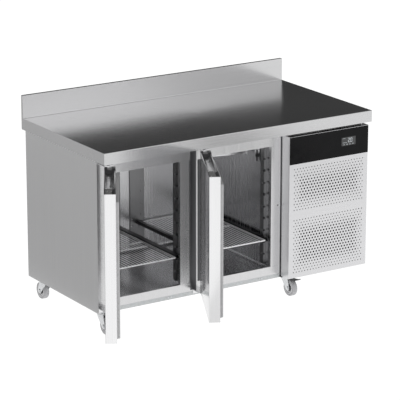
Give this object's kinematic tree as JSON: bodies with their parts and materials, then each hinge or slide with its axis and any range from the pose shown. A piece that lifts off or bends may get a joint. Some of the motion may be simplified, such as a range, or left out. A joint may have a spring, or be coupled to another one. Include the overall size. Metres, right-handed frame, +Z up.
{
  "type": "undercounter refrigerator",
  "caption": "Refrigerated counter on castors: steel worktop with rear upstand, hinged insulated doors, wire shelves, and a side compressor bay behind a vented panel.",
  "frame": {"origin": "on the floor, under the middle of the worktop", "axes": "+X to the right of a user facing the doors, +Y to the back, +Z up"},
  "size_m": [1.536, 1.0613, 0.905],
  "materials": {
    "steel": "satin",
    "bright_steel": "satin",
    "galvanised": "matte",
    "zinc": "satin",
    "wire": "gloss",
    "foam": "matte",
    "gasket": "matte",
    "grip": "satin",
    "black_glass": "gloss",
    "display": "gloss",
    "black_plastic": "matte",
    "black_paint": "satin",
    "fins": "satin",
    "copper": "satin",
    "tread": "matte"
  },
  "bodies": {
    "cabinet": {"worktop": "steel", "worktop_board": "foam", "side_panel": "steel", "partition_panel": "galvanised", "back_panel": "galvanised", "bottom_panel": "galvanised", "insulation": "foam", "liner": "steel", "front_frame": "steel", "rack_uprights": "steel", "shelf_runners": "steel", "evaporator_cover": "bright_steel", "evaporator_coil": "fins", "fan_motors": "black_paint", "temperature_probe": "black_plastic", "drain_plug": "black_plastic", "hinge_brackets": "bright_steel", "hinge_pins": "zinc", "service_panel": "bright_steel", "control_fascia": "black_glass", "control_display": "display", "machine_base": "galvanised", "machine_side_panel": "steel", "machine_back_grille": "galvanised", "condenser_coil": "fins", "fan_shroud": "black_paint", "compressor": "black_paint", "compressor_mounts": "gasket", "evaporation_tray": "black_plastic", "electrical_box": "black_plastic", "cable_inlet": "black_plastic", "refrigerant_pipes": "copper", "castor_plates": "zinc", "fasteners": "zinc"},
    "door_left": {"door_left_skin": "steel", "door_left_core": "foam", "door_left_liner": "steel", "door_left_gasket": "gasket", "door_left_grip": "grip", "door_left_bushes": "black_plastic"},
    "shelf_left": {"shelf_left": "wire"},
    "door_right": {"door_right_skin": "steel", "door_right_core": "foam", "door_right_liner": "steel", "door_right_gasket": "gasket", "door_right_grip": "grip", "door_right_bushes": "black_plastic"},
    "shelf_right": {"shelf_right": "wire"},
    "evaporator_fan": {"evaporator_fan": "black_plastic"},
    "condenser_fan": {"condenser_fan": "black_plastic"},
    "castor_front_left_swivel": {"castor_front_left_fork": "zinc"},
    "castor_front_left_wheel": {"castor_front_left_wheel": "tread"},
    "castor_front_left_brake": {"castor_front_left_brake": "black_plastic"},
    "castor_rear_left_swivel": {"castor_rear_left_fork": "zinc"},
    "castor_rear_left_wheel": {"castor_rear_left_wheel": "tread"},
    "castor_front_right_swivel": {"castor_front_right_fork": "zinc"},
    "castor_front_right_wheel": {"castor_front_right_wheel": "tread"},
    "castor_front_right_brake": {"castor_front_right_brake": "black_plastic"},
    "castor_rear_right_swivel": {"castor_rear_right_fork": "zinc"},
    "castor_rear_right_wheel": {"castor_rear_right_wheel": "tread"}
  },
  "joints": [
    {"name": "door_left_hinge", "type": "hinge", "parent": "cabinet", "child": "door_left", "pos_m": [-0.657, -0.338, 0.439], "axis": [0, 0, 1], "range_deg": [0, 120.5]},
    {"name": "shelf_left_slide", "type": "slide", "parent": "cabinet", "child": "shelf_left", "axis": [0, 1, 0], "range_m": [-0.2, 0]},
    {"name": "door_right_hinge", "type": "hinge", "parent": "cabinet", "child": "door_right", "pos_m": [-0.197, -0.338, 0.439], "axis": [0, 0, 1], "range_deg": [0, 117.5]},
    {"name": "shelf_right_slide", "type": "slide", "parent": "cabinet", "child": "shelf_right", "axis": [0, 1, 0], "range_m": [-0.3, 0]},
    {"name": "evaporator_fan_spin", "type": "hinge", "parent": "cabinet", "child": "evaporator_fan", "pos_m": [-0.084, 0.105, 0.6805], "axis": [1, 0, 0], "continuous": true},
    {"name": "condenser_fan_spin", "type": "hinge", "parent": "cabinet", "child": "condenser_fan", "pos_m": [0.447, -0.226, 0.33], "axis": [0, 1, 0], "continuous": true},
    {"name": "castor_front_left_turn", "type": "hinge", "parent": "cabinet", "child": "castor_front_left_swivel", "pos_m": [-0.616, -0.228, 0.09], "axis": [0, 0, 1], "continuous": true},
    {"name": "castor_front_left_roll", "type": "hinge", "parent": "castor_front_left_swivel", "child": "castor_front_left_wheel", "pos_m": [-0.616, -0.26, 0.0375], "axis": [1, 0, 0], "continuous": true},
    {"name": "castor_front_left_brake_lift", "type": "hinge", "parent": "castor_front_left_swivel", "child": "castor_front_left_brake", "pos_m": [-0.616, -0.254, 0.08], "axis": [-1, 0, 0], "range_deg": [0, 8]},
    {"name": "castor_rear_left_turn", "type": "hinge", "parent": "cabinet", "child": "castor_rear_left_swivel", "pos_m": [-0.616, 0.258, 0.09], "axis": [0, 0, 1], "continuous": true},
    {"name": "castor_rear_left_roll", "type": "hinge", "parent": "castor_rear_left_swivel", "child": "castor_rear_left_wheel", "pos_m": [-0.616, 0.29, 0.0375], "axis": [1, 0, 0], "continuous": true},
    {"name": "castor_front_right_turn", "type": "hinge", "parent": "cabinet", "child": "castor_front_right_swivel", "pos_m": [0.314, -0.228, 0.09], "axis": [0, 0, 1], "continuous": true},
    {"name": "castor_front_right_roll", "type": "hinge", "parent": "castor_front_right_swivel", "child": "castor_front_right_wheel", "pos_m": [0.314, -0.26, 0.0375], "axis": [1, 0, 0], "continuous": true},
    {"name": "castor_front_right_brake_lift", "type": "hinge", "parent": "castor_front_right_swivel", "child": "castor_front_right_brake", "pos_m": [0.314, -0.254, 0.08], "axis": [-1, 0, 0], "range_deg": [0, 8]},
    {"name": "castor_rear_right_turn", "type": "hinge", "parent": "cabinet", "child": "castor_rear_right_swivel", "pos_m": [0.314, 0.258, 0.09], "axis": [0, 0, 1], "continuous": true},
    {"name": "castor_rear_right_roll", "type": "hinge", "parent": "castor_rear_right_swivel", "child": "castor_rear_right_wheel", "pos_m": [0.314, 0.29, 0.0375], "axis": [1, 0, 0], "continuous": true}
  ]
}
